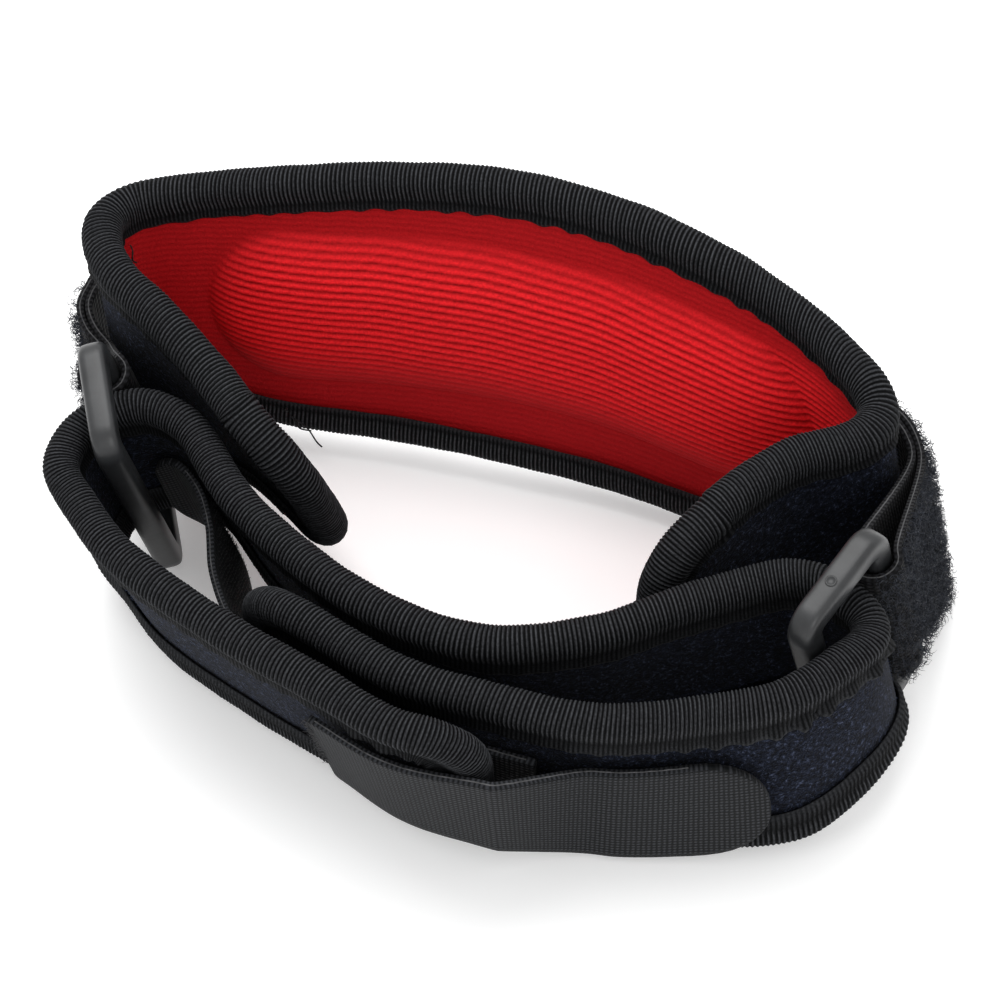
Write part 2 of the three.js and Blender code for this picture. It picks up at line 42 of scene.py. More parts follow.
# How far part.mjs moves the model to stand it over the origin, in millimetres
SHIFT = np.array([-1.91, -0.01, 0.20])
# The curve through a band's rows has this many samples from one row to the next
SAMPLES_PER_ROW = 24

# The same sizes as in the CAD source, in millimetres
LOOP_WIDTH = 150
LOOP_DEPTH = 108
STRAP_WIDTH = 38
STRAP_THICKNESS = 3
STRAP_CORNER = 12
BINDING_WALL = 1.2
BINDING_DEPTH = 9
PINCH = 0.6
BACK_WIDTH = 60
BACK_CORNER = 15
BACK_LOWER_DEPTH = 6.5
BACK_UPPER_DEPTH = 7.4
SHELL_THICKNESS = 2.2
LINING_THICKNESS = 1.2
PAD_LENGTH = 110
PAD_WIDTH = 31
PAD_HEIGHT = 4.6
RIB_PITCH = 1.4
TAB_WIDTH = 25
TAB_THICKNESS = 1.2
LEFT_TAB_CORNER = 12.2
RIGHT_TAB_CORNER = 7
LEFT_TAB_DROP = 1.8
RIGHT_TAB_DROP = 4.6
RING_SPAN = 22.5
RING_BAR = 4.5
RING_THICKNESS = 4.6
RING_CORNER = 5
RING_BEVEL = 1.1
RING_PLAY = 1.4
RING_TILT = 0.12
RING_CROSSING = 0.44
TAPE_THICKNESS = 1.2
CLEARANCE = 0.3

STRAP_CAVITY = STRAP_THICKNESS + 2 * CLEARANCE
STRAP_BOUND = STRAP_CAVITY + 2 * BINDING_WALL
LAYER_PITCH = STRAP_BOUND + TAB_THICKNESS + 2 * CLEARANCE
STACK = SHELL_THICKNESS + CLEARANCE + LINING_THICKNESS
BACK_CAVITY = STACK + 3 * CLEARANCE
BACK_BOUND = BACK_CAVITY + 2 * BINDING_WALL
RING_OPENING = STRAP_WIDTH + 2 * RING_PLAY
RING_HEIGHT = RING_OPENING + 2 * RING_BAR
RING_LIFT = RING_BAR + RING_SPAN * RING_TILT
EDGE_ROOM = BINDING_WALL + 3 * CLEARANCE
SHELL_LOW = -STACK / 2
LINING_LOW = SHELL_LOW + SHELL_THICKNESS + CLEARANCE
LINING_TOP = LINING_LOW + LINING_THICKNESS
STRAP_OUTSIDE = -(STRAP_BOUND / 2 + CLEARANCE + TAB_THICKNESS / 2)

# The strap's rows, as in the CAD source: name, x and y as shares of half the loop, lane in layers
# outward, the x and y of the way up, and lift as a share of RING_LIFT
STRAP_ROWS = [
    ("left end", 0, -0.58, 2, -0.05, -0.23, 0.6),
    ("", -0.11, -0.49, 2, -0.09, -0.27, 0.55),
    ("", -0.19, -0.37, 2, -0.14, -0.27, 0.55),
    ("", -0.36, -0.31, 1.5, -0.17, -0.26, 0.6),
    ("", -0.61, -0.15, 1, -0.20, -0.22, 0.7),
    ("", -0.76, 0.02, 0.5, -0.18, -0.25, 0.85),
    ("", -0.885, 0.16, 0, -0.12, -0.29, 1),
    ("", -0.88, 0.27, 0, -0.12, -0.29, 1),
    ("left fold", -0.845, 0.36, 0, -0.12, -0.29, 1),
    ("left ring", -0.80, 0.41, 0, -0.12, -0.29, 1),
    ("", -0.72, 0.425, 0, -0.12, -0.28, 1),
    ("inner left", -0.62, 0.36, 0, -0.14, -0.28, 0.9),
    ("inner bend", -0.48, 0.08, 0, -0.19, -0.25, 0.65),
    ("", -0.37, -0.12, 0, -0.17, -0.22, 0.4),
    ("", -0.225, -0.34, 0, -0.09, -0.20, 0.2),
    ("inner middle", -0.035, -0.485, 0, -0.01, -0.18, 0.1),
    ("", 0.20, -0.485, 0, 0, -0.14, 0.15),
    ("", 0.36, -0.44, 0, -0.02, -0.10, 0.3),
    ("", 0.52, -0.395, 0, -0.08, -0.09, 0.5),
    ("", 0.66, -0.37, 0, -0.15, -0.11, 0.85),
    ("", 0.76, -0.365, 0, -0.20, -0.16, 1),
    ("right ring", 0.82, -0.395, 0, -0.22, -0.20, 1),
    ("right fold", 0.857, -0.46, 0, -0.22, -0.22, 1),
    ("", 0.845, -0.56, 0, -0.20, -0.18, 1),
    ("", 0.735, -0.66, 0.5, -0.18, -0.08, 0.85),
    ("outer right", 0.56, -0.74, 1, -0.13, 0, 0.4),
    ("", 0.365, -0.72, 1, -0.05, -0.06, 0.15),
    ("outer middle", 0.155, -0.675, 1, 0, -0.11, 0),
    ("", -0.02, -0.54, 1, -0.04, -0.17, 0),
    ("", -0.13, -0.43, 1, -0.10, -0.22, 0.1),
    ("", -0.255, -0.28, 1, -0.14, -0.24, 0.2),
    ("right end", -0.40, -0.185, 0.8, -0.17, -0.24, 0.3),
]

# The back piece's rows are the same, with the width as a share of BACK_WIDTH at the end
BACK_ROWS = [
    ("left tip", -0.42, 0.16, -1, -0.22, -0.27, 1.1, 0.64),
    ("", -0.52, 0.33, -1, -0.22, -0.27, 1.45, 0.67),
    ("", -0.58, 0.50, -0.6, -0.21, -0.23, 1.3, 0.70),
    ("", -0.69, 0.62, -0.3, -0.17, -0.13, 1.1, 0.74),
    ("left root", -0.80, 0.69, 0, -0.10, -0.03, 0.85, 0.77),
    ("left corner", -0.87, 0.77, 0, -0.05, 0.05, 0.7, 0.78),
    ("", -0.88, 0.86, 0, -0.03, 0.07, 0.65, 0.79),
    ("", -0.83, 0.92, 0, -0.02, 0.09, 0.6, 0.80),
    ("left back", -0.69, 0.90, 0, 0, 0.12, 0.6, 0.84),
    ("", -0.48, 0.81, 0, 0, 0.17, 0.6, 0.90),
    ("", -0.23, 0.74, 0, 0, 0.19, 0.6, 0.95),
    ("middle", 0.04, 0.64, 0, 0, 0.20, 0.55, 0.99),
    ("", 0.28, 0.54, 0, 0, 0.20, 0.4, 0.98),
    ("", 0.51, 0.41, 0, 0, 0.18, 0.25, 0.94),
    ("right back", 0.73, 0.36, 0, -0.10, 0.12, 0.1, 0.87),
    ("", 0.85, 0.30, 0, -0.16, 0.08, 0, 0.83),
    ("right corner", 0.93, 0.215, 0, -0.20, 0.05, 0, 0.80),
    ("", 0.945, 0.135, 0, -0.21, 0.06, 0, 0.77),
    ("right root", 0.91, 0.06, 0, -0.20, 0.07, 0.15, 0.75),
    ("", 0.825, 0.01, 0, -0.16, 0.07, 0.35, 0.72),
    ("", 0.71, -0.04, -0.3, -0.10, 0.04, 0.6, 0.70),
    ("", 0.61, -0.13, -0.6, -0.05, 0, 0.7, 0.68),
    ("", 0.51, -0.29, -1, 0, -0.03, 0.7, 0.66),
    ("right tip", 0.38, -0.46, -1, 0, -0.03, 0.7, 0.64),
]

# The right tab's free length: how far along the inner strap, and how far off it in layers
FREE_TAB = [(0.30, 1.30), (0.52, 0.74), (0.74, 0.55), (1, 0.55), (1.24, 0.60)]
# How far round a ring's bar each row of its tape's fold lies, in radians
TAPE_TURNS = [-2.1, -1.5, -1, -0.5, 0, 0.5, 1, 1.5, 2.1]

rng = np.random.default_rng(7)


def unit(v):
    """The vectors v, each scaled to a length of 1."""
    return v / np.linalg.norm(v, axis=-1, keepdims=True)


def smoothstep(low, high, x):
    """0 at low and 1 at high, with a smooth step from one to the other."""
    t = np.clip((x - low) / (high - low), 0, 1)
    return t * t * (3 - 2 * t)


def band_node(row, width):
    """A table's row as the band's middle, its way up, its width and its name there."""
    name, x, y, lane, lean_x, lean_y, lift = row[:7]
    place = np.array([x * LOOP_WIDTH / 2, y * LOOP_DEPTH / 2, 0.0])
    up = np.array([lean_x, lean_y, math.sqrt(1 - lean_x**2 - lean_y**2)])
    mid = place + place / np.linalg.norm(place) * lane * LAYER_PITCH
    mid[2] = lift * RING_LIFT
    return {"mid": mid + up * width / 2, "up": up, "width": width, "at": name}


def spline(points, t, centripetal=True):
    """A Catmull-Rom curve through the points at t, from 0 to 1."""
    points = np.asarray(points, float)
    count = len(points)
    p = (count - 1) * t
    i = np.clip(np.floor(p).astype(int), 0, count - 2)
    w = (p - i)[:, None]
    padded = np.vstack([2 * points[0] - points[1], points, 2 * points[-1] - points[-2]])
    p0, p1, p2, p3 = (padded[i + k] for k in range(4))
    if centripetal:
        d0, d1, d2 = (
            np.maximum(np.linalg.norm(b - a, axis=1, keepdims=True), 1e-8) ** 0.5
            for a, b in ((p0, p1), (p1, p2), (p2, p3))
        )
        m1 = ((p1 - p0) / d0 - (p2 - p0) / (d0 + d1) + (p2 - p1) / d1) * d1
        m2 = ((p2 - p1) / d1 - (p3 - p1) / (d1 + d2) + (p3 - p2) / d2) * d1
    else:
        m1, m2 = (p2 - p0) / 2, (p3 - p1) / 2
    c2 = -3 * p1 + 3 * p2 - 2 * m1 - m2
    c3 = 2 * p1 - 2 * p2 + m1 + m2
    return p1 + m1 * w + c2 * w**2 + c3 * w**3


class Band:
    """A band along its nodes: point(s, a, h) is s along it, a across it and h off its face.

    up, along and off are its own directions at s, and half is half its width there.
    """

    def __init__(self, nodes):
        self.nodes = nodes
        t = np.linspace(0, 1, SAMPLES_PER_ROW * (len(nodes) - 1) + 1)
        self.mids = spline([n["mid"] for n in nodes], t)
        self.ups = unit(spline([n["up"] for n in nodes], t))
        self.widths = spline([[n["width"]] * 3 for n in nodes], t, False)[:, 0]
        steps = np.linalg.norm(np.diff(self.mids, axis=0), axis=1)
        self.lengths = np.concatenate([[0], np.cumsum(steps)])
        self.length = self.lengths[-1]
        self.alongs = unit(np.gradient(self.mids, axis=0))
        self.offs = unit(np.cross(self.alongs, self.ups))

    def _at(self, values, s):
        return np.stack([np.interp(s, self.lengths, values[:, k]) for k in range(3)], -1)

    def up(self, s):
        return unit(self._at(self.ups, s))

    def along(self, s):
        return unit(self._at(self.alongs, s))

    def off(self, s):
        return unit(self._at(self.offs, s))

    def point(self, s, a, h):
        s, a, h = np.broadcast_arrays(*(np.asarray(v, float) for v in (s, a, h)))
        return self._at(self.mids, s) + a[..., None] * self.up(s) + h[..., None] * self.off(s)

    def half(self, s):
        return np.interp(s, self.lengths, self.widths) / 2

    def station(self, name, past=0):
        """How far along the band a named row lies, or a place so many rows past it."""
        row = next(i for i, n in enumerate(self.nodes) if n["at"] == name) + past
        return self.lengths[int(math.floor(row * SAMPLES_PER_ROW + 0.5))]


# Meshes from grids of points


def add_object(name, points, faces, uvs=None, shade_tones=None):
    """A smooth mesh from points in millimetres, with a tone from 0 to 1 at each if given; the tone
    carries painted highlights and painted shade to the cloth materials.
    """
    mesh = bpy.data.meshes.new(name)
    points = (np.asarray(points).reshape(-1, 3) + SHIFT) * MM
    faces = np.asarray(faces, np.int32)
    size = faces.shape[1]
    mesh.vertices.add(len(points))
    mesh.vertices.foreach_set("co", points.astype(np.float32).ravel())
    mesh.loops.add(faces.size)
    mesh.loops.foreach_set("vertex_index", faces.ravel())
    mesh.polygons.add(len(faces))
    mesh.polygons.foreach_set("loop_start", np.arange(0, faces.size, size, dtype=np.int32))
    mesh.polygons.foreach_set("use_smooth", np.ones(len(faces), bool))
    if uvs is not None:
        layer = mesh.uv_layers.new(name="UVMap")
        flat = np.asarray(uvs, np.float32).reshape(-1, 2)[faces.ravel()]
        layer.data.foreach_set("uv", flat.ravel())
    mesh.update(calc_edges=True)
    mesh.validate()
    if shade_tones is not None:
        colors = mesh.color_attributes.new("shade_tone", "FLOAT_COLOR", "POINT")
        flat = np.asarray(shade_tones, np.float32).ravel()
        colors.data.foreach_set("color", np.stack([flat] * 3 + [flat * 0 + 1], -1).ravel())
    obj = bpy.data.objects.new(name, mesh)
    bpy.context.scene.collection.objects.link(obj)
    return obj


def grid_faces(rows, columns, loop_rows=False, loop_columns=False):
    """The quads of a grid of points, closed to a ring along its rows or columns."""
    i = np.arange(rows if loop_rows else rows - 1)[:, None]
    k = np.arange(columns if loop_columns else columns - 1)[None, :]
    j, m = (i + 1) % rows, (k + 1) % columns
    quads = np.stack([i * columns + k, i * columns + m, j * columns + m, j * columns + k], -1)
    return quads.reshape(-1, 4)


def dress(obj, material, slot, *nodes):
    """Gives a piece its material and hides the CAD nodes that it replaces; its slot is not used."""
    obj.data.materials.append(material)
    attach(obj, "root")
    if nodes:
        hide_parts(*nodes)
    return obj


# Materials


def node_tools(name, roughness, sheen=0.0, specular=0.12):
    """A new material with its tree, its shader and a function that adds a node to it."""
    material = bpy.data.materials.new(name)
    material.use_nodes = True
    tree = material.node_tree
    shader = tree.nodes["Principled BSDF"]
    shader.inputs["Roughness"].default_value = roughness
    shader.inputs["Sheen Weight"].default_value = sheen
    shader.inputs["Sheen Roughness"].default_value = 0.4
    shader.inputs["Specular IOR Level"].default_value = specular

    def add(kind, **values):
        node = tree.nodes.new(kind)
        for key, value in values.items():
            if key in node.inputs:
                node.inputs[key].default_value = value
            else:
                setattr(node, key, value)
        return node

    return material, tree, shader, add


def ramp(add, stops):
    """A colour ramp with two or more stops, each a place and a colour."""
    node = add("ShaderNodeValToRGB")
    elements = node.color_ramp.elements
    for element, (place, color) in zip(elements, stops):
        element.position = place
        element.color = (*color, 1)
    for place, color in stops[2:]:
        elements.new(place).color = (*color, 1)
    return node


def connect(tree, shader, shade, colors, height, bump):
    """The shade picks a colour from the ramp, and the height raises the bump."""
    tree.links.new(shade, colors.inputs["Fac"])
    tree.links.new(colors.outputs["Color"], shader.inputs["Base Color"])
    tree.links.new(height, bump.inputs["Height"])
    tree.links.new(bump.outputs["Normal"], shader.inputs["Normal"])


def toned(name, dark, light, grain, broken, specular):
    """A cloth whose colour follows the mesh's tone, which holds painted highlights and painted shade,
    broken up by a fine grain.
    """
    material, tree, shader, add = node_tools(name, 0.8, 0.0, specular)
    shade_tone = add("ShaderNodeAttribute", attribute_name="shade_tone")
    noise = add("ShaderNodeTexNoise", Scale=grain, Detail=3.0)
    place = add("ShaderNodeTexCoord")
    breaks = add("ShaderNodeMath", operation="MULTIPLY_ADD")
    breaks.inputs[1].default_value = broken
    breaks.inputs[2].default_value = 1.05 - broken / 2
    mix = add("ShaderNodeMath", operation="MULTIPLY")
    colors = ramp(add, [(0.0, dark), (1.0, light)])
    bump = add("ShaderNodeBump", Strength=0.6, Distance=0.0003)
    link = tree.links.new
    link(place.outputs["Object"], noise.inputs["Vector"])
    link(noise.outputs["Fac"], breaks.inputs[0])
    link(breaks.outputs[0], mix.inputs[0])
    link(shade_tone.outputs["Fac"], mix.inputs[1])
    connect(tree, shader, mix.outputs[0], colors, noise.outputs["Fac"], bump)
    return material


def brushed(name):
    """The navy loop fabric, with bluish specks of its pile."""
    material, tree, shader, add = node_tools(name, 0.95, 0.03, 0.08)
    place = add("ShaderNodeTexCoord")
    coarse = add("ShaderNodeTexNoise", Scale=1300.0, Detail=4.0, Roughness=0.75)
    fine = add("ShaderNodeTexNoise", Scale=2600.0, Detail=2.0)
    colors = ramp(add, [(0.42, (0.0017, 0.0022, 0.0046)), (0.58, (0.0085, 0.0112, 0.0210)),
                        (0.70, (0.062, 0.076, 0.125))])
    bump = add("ShaderNodeBump", Strength=0.7, Distance=0.0004)
    for noise in (coarse, fine):
        tree.links.new(place.outputs["Object"], noise.inputs["Vector"])
    connect(tree, shader, coarse.outputs["Fac"], colors, fine.outputs["Fac"], bump)
    return material


def woven(name, dark, light, pitch):
    """A plain weave: two sets of threads that cross, on the mesh's own millimetres."""
    material, tree, shader, add = node_tools(name, 0.7, 0.02)
    place = add("ShaderNodeUVMap")
    link = tree.links.new
    waves = []
    for direction in ("X", "Y"):
        # the wave node has one wave in a length of 2 pi / 20 / Scale
        wave = add("ShaderNodeTexWave", Scale=2 * math.pi / pitch / 20, Distortion=1.0)
        wave.inputs["Detail Scale"].default_value = 2.0
        wave.bands_direction = direction
        link(place.outputs["UV"], wave.inputs["Vector"])
        waves.append(wave)
    cross = add("ShaderNodeMath", operation="MULTIPLY")
    link(waves[0].outputs["Fac"], cross.inputs[0])
    link(waves[1].outputs["Fac"], cross.inputs[1])
    colors = ramp(add, [(0.0, dark), (0.8, light)])
    bump = add("ShaderNodeBump", Strength=0.7, Distance=0.0003)
    connect(tree, shader, cross.outputs[0], colors, cross.outputs[0], bump)
    return material


def mottled(name, color, roughness, specular, scale, spread, depth):
    """One colour that wanders by spread to either side of it, with a bump of its own depth."""
    material, tree, shader, add = node_tools(name, roughness, 0.0, specular)
    place = add("ShaderNodeTexCoord")
    noise = add("ShaderNodeTexNoise", Scale=scale, Detail=4.0, Roughness=0.6)
    shades = [tuple(part * share for part in color) for share in (1 - spread, 1 + spread)]
    colors = ramp(add, [(0.3, shades[0]), (0.7, shades[1])])
    bump = add("ShaderNodeBump", Strength=0.5, Distance=depth)
    tree.links.new(place.outputs["Object"], noise.inputs["Vector"])
    connect(tree, shader, noise.outputs["Fac"], colors, noise.outputs["Fac"], bump)
    return material


# The knits: name, dark colour for the painted shade and light colour for the painted highlights, scale of
# the grain, how much it breaks, specular
KNIT = toned("ribbed_knit", (0.0012, 0.0013, 0.0015), (0.052, 0.054, 0.059), 2400.0, 2.2, 0.05)
RED = toned("red_knit_cloth", (0.12, 0.0012, 0.0022), (0.90, 0.0190, 0.0250), 2600.0, 0.9, 0.08)
NAVY = brushed("navy_loop_cloth")
# The weaves: name, dark and light colour, pitch of the threads in millimetres
WEAVE = woven("hook_back_weave", (0.0045, 0.0049, 0.0055), (0.033, 0.035, 0.040), 0.80)
TAPE = woven("tape_weave", (0.0022, 0.0022, 0.0026), (0.011, 0.011, 0.013), 1.1)
# The rest: name, colour, roughness, specular, scale and spread of the mottle, depth of the bump
PILE = mottled("curly_pile", (0.021, 0.024, 0.032), 0.7, 0.25, 900.0, 0.9, 0.0001)
FUZZ = mottled("blue_fuzz", (0.048, 0.060, 0.100), 0.9, 0.3, 500.0, 0.6, 0.0001)
HOOK = mottled("hook_nylon", (0.035, 0.035, 0.038), 0.5, 0.3, 400.0, 0.3, 0.0001)
PLASTIC = mottled("ring_plastic", (0.018, 0.019, 0.0205), 0.38, 0.5, 220.0, 0.4, 0.00012)
THREAD = mottled("black_thread", (0.006, 0.006, 0.007), 0.8, 0.3, 900.0, 0.4, 0.0001)
EDGE = mottled("pale_edge", (0.07, 0.07, 0.073), 0.7, 0.3, 500.0, 0.5, 0.0001)


# Sheets along a band

# Samples round a quarter of a corner: at a sheet's ends, and on a binding's outline
END_SAMPLES = 10
CORNER_SAMPLES = 16
# The outline's own step, and how many samples to either side its direction is taken over
OUTLINE_STEP = 0.5
DIRECTION_REACH = 6


def tip_round(x, radius):
    """How far a rounded corner's edge is drawn in, x from the band's end."""
    inside = np.clip(radius - x, 0, radius)
    return radius - np.sqrt(radius**2 - inside**2)


def end_spaced(length, step, radius):
    """Places along a band, closer together where its corners are round."""
    angles = np.linspace(0, math.pi / 2, END_SAMPLES)[:-1]
    start = radius * (1 - np.cos(angles))
    body = np.linspace(radius, length - radius, max(int((length - 2 * radius) / step), 2))
    return np.concatenate([start, body, (length - start)[::-1]])


def sheet_grid(band, margin, radii, step, columns):
    """A sheet with round corners as a grid: how far along its band and across it each point is."""
    length = band.length - 2 * margin
    s = end_spaced(length, step, max(radii))
    cut = tip_round(s, radii[0]) + tip_round(length - s, radii[1])
    s = s + margin
    reach = band.half(s) - margin - cut
    a = np.linspace(-1, 1, columns)[None, :] * reach[:, None]
    return np.repeat(s[:, None], columns, 1), a


def sheet_object(name, band, low, high, margin, radii, step, columns):
    """A closed sheet on a band, between low and high, with round corners."""
    s, a = sheet_grid(band, margin, radii, step, columns)
    upper = band.point(s, a, high)
    lower = band.point(s, a, low)
    rings = np.concatenate([upper, lower[:, ::-1]], 1)
    places = np.stack([s, a], -1)
    uv = np.concatenate([places, places[:, ::-1]], 1)
    faces = [grid_faces(len(s), 2 * columns, loop_columns=True)]
    k = np.arange(columns - 1)
    for row in (0, len(s) - 1):
        near = row * 2 * columns + k
        far = row * 2 * columns + 2 * columns - 1 - k
        faces.append(np.stack([near, near + 1, far - 1, far], -1))
    return add_object(name, rings, np.concatenate(faces), uv)


def flat_outline(band, radius, step):
    """The band's edge in even steps: the way along it, s, a and the direction into the band."""
    angles = np.linspace(0, math.pi / 2, CORNER_SAMPLES)[1:-1]
    length = band.length
    run = np.arange(radius, length - radius, OUTLINE_STEP)
    first, last = band.half(0.0), band.half(length)
    parts = [
        np.stack([run, -band.half(run)], -1),
        [(length - radius + radius * math.sin(t), -last + radius - radius * math.cos(t)) for t in angles],
        [(length, -last + radius), (length, last - radius)],
        [(length - radius + radius * math.cos(t), last - radius + radius * math.sin(t)) for t in angles],
        np.stack([run[::-1], band.half(run[::-1])], -1),
        [(radius - radius * math.sin(t), first - radius + radius * math.cos(t)) for t in angles],
        [(0, first - radius), (0, -first + radius)],
        [(radius - radius * math.cos(t), -first + radius - radius * math.sin(t)) for t in angles],
    ]
    path = np.concatenate([np.asarray(p, float) for p in parts])
    closed = np.vstack([path, path[:1]])
    lengths = np.concatenate([[0], np.cumsum(np.linalg.norm(np.diff(closed, axis=0), axis=1))])
    count = int(lengths[-1] / step)
    at = np.linspace(0, lengths[-1], count, endpoint=False)
    s, a = (np.interp(at, lengths, closed[:, k]) for k in range(2))
    ds = np.roll(s, -DIRECTION_REACH) - np.roll(s, DIRECTION_REACH)
    da = np.roll(a, -DIRECTION_REACH) - np.roll(a, DIRECTION_REACH)
    reach = np.hypot(ds, da)
    return at, s, a, -da / reach, ds / reach


# The rib-knit bindings, with lengths in millimetres and turns in radians

SAMPLES_PER_RIB = 4
# How far round the roll each of its rows lies, and where and how much it flattens
ROLL_TURNS = (0.15, 0.5, 0.85, 1.2, 1.55, 1.9)
ROLL_FLAT_FROM = 1.2
ROLL_FLATNESS = 0.10
# The roll's end as a share of its radius, then the stitch line and the flange as shares of the rest
ROLL_END = 1.42
STITCH_SHARE = 0.25
FLANGE_SHARE = 0.6
# The ribs on the roll: height, the level they swell from, lean, and the sharpness and tone of the painted
# highlight on their crests
RIB_SWELL = 0.23
RIB_LEVEL = 0.45
RIB_LEAN = 0.9
RIB_SHARPNESS = 3.5
RIB_HIGHLIGHT = 0.92
# Past the roll the ribs keep this phase, and the free edge is a thin lip
FLANGE_PHASE = 2
LIP = 0.30
LIP_INSIDE = 0.2
# Slow waves of the roll's fullness, each a length and a phase, and how far they move it
SLOW_WAVES = ((31, 0.4), (17.3, 1.9), (9.1, 3.0))
ROLL_SLOW = 0.10
EDGE_SLOW = 0.12
# How strong the gathers are where no ruffle is, and how far they move the flange and its edge
QUIET_GATHER = 0.35
FLANGE_WAVE = 0.45
EDGE_WAVE = 0.40


def gather_wave(at, s, height, scallop, ruffles):
    """The wave of the binding's free edge, which only its upper side has."""
    peaks = sum(power * np.exp(-(((s - place) / reach) ** 2)) for place, reach, power in ruffles)
    gather = (QUIET_GATHER + peaks) * smoothstep(0.4, 0.8, height)
    drift = 0.5 * np.sin(at * 0.21) + 0.3 * np.sin(at * 0.083 + 1)
    return gather * np.sin(2 * math.pi * (at + drift) / scallop) * (0.7 + 0.3 * np.sin(at * 0.37))


def roll_rows(at, turn_at, outer, slow):
    """The rows over the roll, each as its depth into the band, its height off it and its tone, which
    paints a highlight on each rib's crest and shade between the ribs.
    """
    uneven = 1 + 0.25 * np.sin(at * 2.9) * np.sin(at * 0.71 + 2)
    rows = []
    for turn in ROLL_TURNS:
        # the ribs lean a little as they pass over the roll
        rib = 0.5 + 0.5 * np.cos(turn_at + RIB_LEAN * turn + 0.35 * np.sin(at * 0.31 + turn))
        swell = RIB_SWELL * (rib - RIB_LEVEL) * uneven + ROLL_SLOW * slow
        flat = 1 - ROLL_FLATNESS * max(turn - ROLL_FLAT_FROM, 0)
        into = outer * (1 - math.cos(turn)) - math.cos(turn) * swell
        off = outer * math.sin(turn) * flat + math.sin(turn) * swell
        # the tone is a painted highlight on the rib's crest, with painted shade between the ribs
        rows.append((into, off, RIB_HIGHLIGHT * rib**RIB_SHARPNESS * uneven))
    return rows


def flange_rows(turn_at, inner, depth, wave, slow):
    """The rows past the roll: the stitch line, the flange, its edge and the edge's inside. Their tones
    are painted light: shade in the stitch line and inside the edge, and highlights on the flange's ribs
    and its free edge.
    """
    outer = inner + BINDING_WALL
    roll_end = outer * ROLL_END
    stitch = roll_end + (depth - roll_end) * STITCH_SHARE
    flange = stitch + (depth - stitch) * FLANGE_SHARE
    edge = depth + EDGE_WAVE * wave + EDGE_SLOW * slow
    rib = 0.5 + 0.5 * np.cos(turn_at + FLANGE_PHASE)
    return [
        (stitch, outer - PINCH + 0.06 * rib, 0.20 * rib**2),
        (flange, outer - 0.5 * PINCH + 0.08 * rib + FLANGE_WAVE * wave, 0.02 + 0.45 * rib**2),
        (edge, inner + LIP + 0.05 * rib + 0.15 * np.abs(wave), 0.30 + 0.30 * rib),
        (edge - LIP_INSIDE, inner, 0.0),
    ]


def binding_object(name, band, radius, cavity, depths, pitch, scallop, ruffles):
    """A rib-knit binding: a round roll over the band's edge, pinched along its stitch line.

    depths are its depths at the lower and the upper edge, and ruffles are the (place along the
    band, reach, strength) of its gathers, which only the upper edge has.
    """
    at, s, a, into_s, into_a = flat_outline(band, radius, pitch / SAMPLES_PER_RIB)
    inner = cavity / 2
    height = (a / band.half(s) + 1) / 2
    depth = depths[0] + (depths[1] - depths[0]) * height
    wave = gather_wave(at, s, height, scallop, ruffles)
    slow = sum(np.sin(2 * math.pi * at / p + q) for p, q in SLOW_WAVES) / len(SLOW_WAVES)
    turn_at = 2 * math.pi * at / pitch
    rows = roll_rows(at, turn_at, inner + BINDING_WALL, slow)
    rows += flange_rows(turn_at, inner, depth, wave, slow)
    ring = [*rows[::-1], *((into, -off, shade_tone) for into, off, shade_tone in rows)]
    ring += [(BINDING_WALL, -inner, 0.0), (BINDING_WALL, inner, 0.0)]
    points = np.stack([band.point(s + into * into_s, a + into * into_a, off) for into, off, _ in ring], 1)
    # the tones are painted highlights on the ribs, with painted shade between them, in the pinch and
    # inside the binding
    shade_tones = np.stack([np.clip(shade_tone, 0, 1) + 0 * s for _, _, shade_tone in ring], 1)
    return add_object(name, points, grid_faces(len(at), len(ring), True, True), None, shade_tones)


# The front strap and the back piece, each a sheet in its binding

SHEET_STEP = 1.2
STRAP_RIB_PITCH = 0.72
STRAP_SCALLOP = 4.6
BACK_RIB_PITCH = 0.76
BACK_SCALLOP = 5.3

strap = Band([band_node(row, STRAP_WIDTH) for row in STRAP_ROWS])
back = Band([band_node(row, row[7] * BACK_WIDTH) for row in BACK_ROWS])

front_cloth = sheet_object(
    "strap_loop_cloth", strap, -STRAP_THICKNESS / 2, STRAP_THICKNESS / 2,
    EDGE_ROOM, (STRAP_CORNER - EDGE_ROOM,) * 2, SHEET_STEP, 20)
dress(front_cloth, NAVY, "navy_fabric", "front_strap")
shell_cloth = sheet_object(
    "back_loop_cloth", back, SHELL_LOW, SHELL_LOW + SHELL_THICKNESS,
    EDGE_ROOM, (BACK_CORNER - EDGE_ROOM,) * 2, SHEET_STEP, 24)
dress(shell_cloth, NAVY, "navy_fabric", "pad_shell")
strap_roll = binding_object(
    "strap_rib_binding", strap, STRAP_CORNER, STRAP_CAVITY, (BINDING_DEPTH, BINDING_DEPTH),
    STRAP_RIB_PITCH, STRAP_SCALLOP,
    [(strap.station("outer right", -0.4), 26, 2.1), (strap.station("left end", 1), 12, 0.6)])
dress(strap_roll, KNIT, "black_knit", "strap_binding")
back_roll = binding_object(
    "back_rib_binding", back, BACK_CORNER, BACK_CAVITY, (BACK_LOWER_DEPTH, BACK_UPPER_DEPTH),
    BACK_RIB_PITCH, BACK_SCALLOP,
    [(back.station("middle", 1), 60, 0.6), (back.station("left tip"), 20, 0.6)])
dress(back_roll, KNIT, "black_knit", "pad_binding")


# The red lining, with its raised pad and the ribs that run along it

LINING_STEP = 0.62
LINING_COLUMNS = 170
# The pad's ends are round past this share of its half length
PAD_STRAIGHT = 0.72
# The cords run on past the pad's right end, up to the binding
CORDS_RIGHT = 1.3
CORD_HEIGHT = 0.50
CORD_TWIST = 1.3
KNIT_PITCH = 1.15
KNIT_HEIGHT = 0.05


